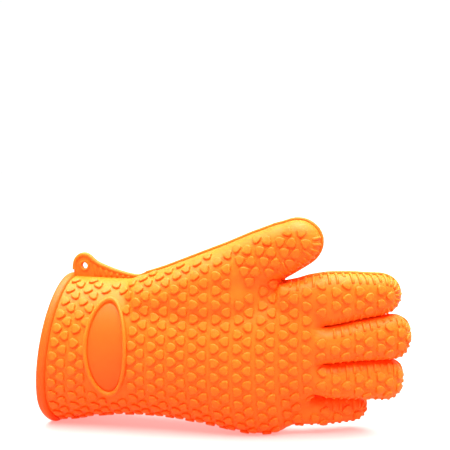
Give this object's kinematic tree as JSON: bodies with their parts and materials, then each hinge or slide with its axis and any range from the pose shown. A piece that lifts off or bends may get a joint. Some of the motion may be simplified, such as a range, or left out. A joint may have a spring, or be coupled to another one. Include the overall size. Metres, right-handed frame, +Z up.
{
  "type": "heat resistant glove",
  "caption": "Five-finger moulded silicone glove with a flared cuff, heart-shaped grip nubs, a blank oval badge and a hanging tab; fingers and thumb bend.",
  "frame": {"origin": "middle of the bounding box in X and Y, on the surface that the glove stands on", "axes": "+X from the cuff to the fingertips, +Y to the palm side, +Z up to the thumb edge; the back of the hand faces -Y"},
  "size_m": [0.2464, 0.0766, 0.1483],
  "materials": {
    "silicone": "satin moulded silicone"
  },
  "bodies": {
    "hand": {"back_shell": "silicone", "palm_shell": "silicone", "cuff_hem": "silicone", "hanging_tab": "silicone", "badge_rim": "silicone", "badge_panel": "silicone", "bottom_bead": "silicone", "thumb_bead": "silicone"},
    "index_root": {"index_root_back": "silicone", "index_root_palm": "silicone"},
    "index_tip": {"index_tip_back": "silicone", "index_tip_palm": "silicone"},
    "middle_root": {"middle_root_back": "silicone", "middle_root_palm": "silicone"},
    "middle_tip": {"middle_tip_back": "silicone", "middle_tip_palm": "silicone"},
    "ring_root": {"ring_root_back": "silicone", "ring_root_palm": "silicone"},
    "ring_tip": {"ring_tip_back": "silicone", "ring_tip_palm": "silicone"},
    "little_root": {"little_root_back": "silicone", "little_root_palm": "silicone"},
    "little_tip": {"little_tip_back": "silicone", "little_tip_palm": "silicone"},
    "thumb_root": {"thumb_root_back": "silicone", "thumb_root_palm": "silicone"},
    "thumb_tip": {"thumb_tip_back": "silicone", "thumb_tip_palm": "silicone"}
  },
  "joints": [
    {"name": "index_root_bend", "type": "hinge", "parent": "hand", "child": "index_root", "pos_m": [0.07682, 0.0051, 0.0946], "axis": [0, 0, 1], "range_deg": [-10, 70], "stiffness_Nm_per_rad": 0.08},
    {"name": "index_tip_bend", "type": "hinge", "parent": "index_root", "child": "index_tip", "pos_m": [0.09772, 0.01685, 0.0946], "axis": [0, 0, 1], "range_deg": [-10, 60], "stiffness_Nm_per_rad": 0.05},
    {"name": "middle_root_bend", "type": "hinge", "parent": "hand", "child": "middle_root", "pos_m": [0.07784, 0.00519, 0.06524], "axis": [0, 0, 1], "range_deg": [-10, 70], "stiffness_Nm_per_rad": 0.08},
    {"name": "middle_tip_bend", "type": "hinge", "parent": "middle_root", "child": "middle_tip", "pos_m": [0.10065, 0.01759, 0.0657], "axis": [0, 0, 1], "range_deg": [-10, 60], "stiffness_Nm_per_rad": 0.05},
    {"name": "ring_root_bend", "type": "hinge", "parent": "hand", "child": "ring_root", "pos_m": [0.07676, 0.00877, 0.04043], "axis": [0, 0, 1], "range_deg": [-10, 70], "stiffness_Nm_per_rad": 0.08},
    {"name": "ring_tip_bend", "type": "hinge", "parent": "ring_root", "child": "ring_tip", "pos_m": [0.0978, 0.02026, 0.04053], "axis": [0, 0, 1], "range_deg": [-10, 60], "stiffness_Nm_per_rad": 0.05},
    {"name": "little_root_bend", "type": "hinge", "parent": "hand", "child": "little_root", "pos_m": [0.06169, 0.01319, 0.01847], "axis": [0, 0, 1], "range_deg": [-10, 70], "stiffness_Nm_per_rad": 0.08},
    {"name": "little_tip_bend", "type": "hinge", "parent": "little_root", "child": "little_tip", "pos_m": [0.07913, 0.02294, 0.01917], "axis": [0, 0, 1], "range_deg": [-10, 60], "stiffness_Nm_per_rad": 0.05},
    {"name": "thumb_root_bend", "type": "hinge", "parent": "hand", "child": "thumb_root", "pos_m": [0.03408, -0.002, 0.12263], "axis": [-0.3907, 0, 0.9205], "range_deg": [-10, 45], "stiffness_Nm_per_rad": 0.08},
    {"name": "thumb_tip_bend", "type": "hinge", "parent": "thumb_root", "child": "thumb_tip", "pos_m": [0.05249, -0.002, 0.13045], "axis": [-0.3907, 0, 0.9205], "range_deg": [-10, 45], "stiffness_Nm_per_rad": 0.05}
  ]
}
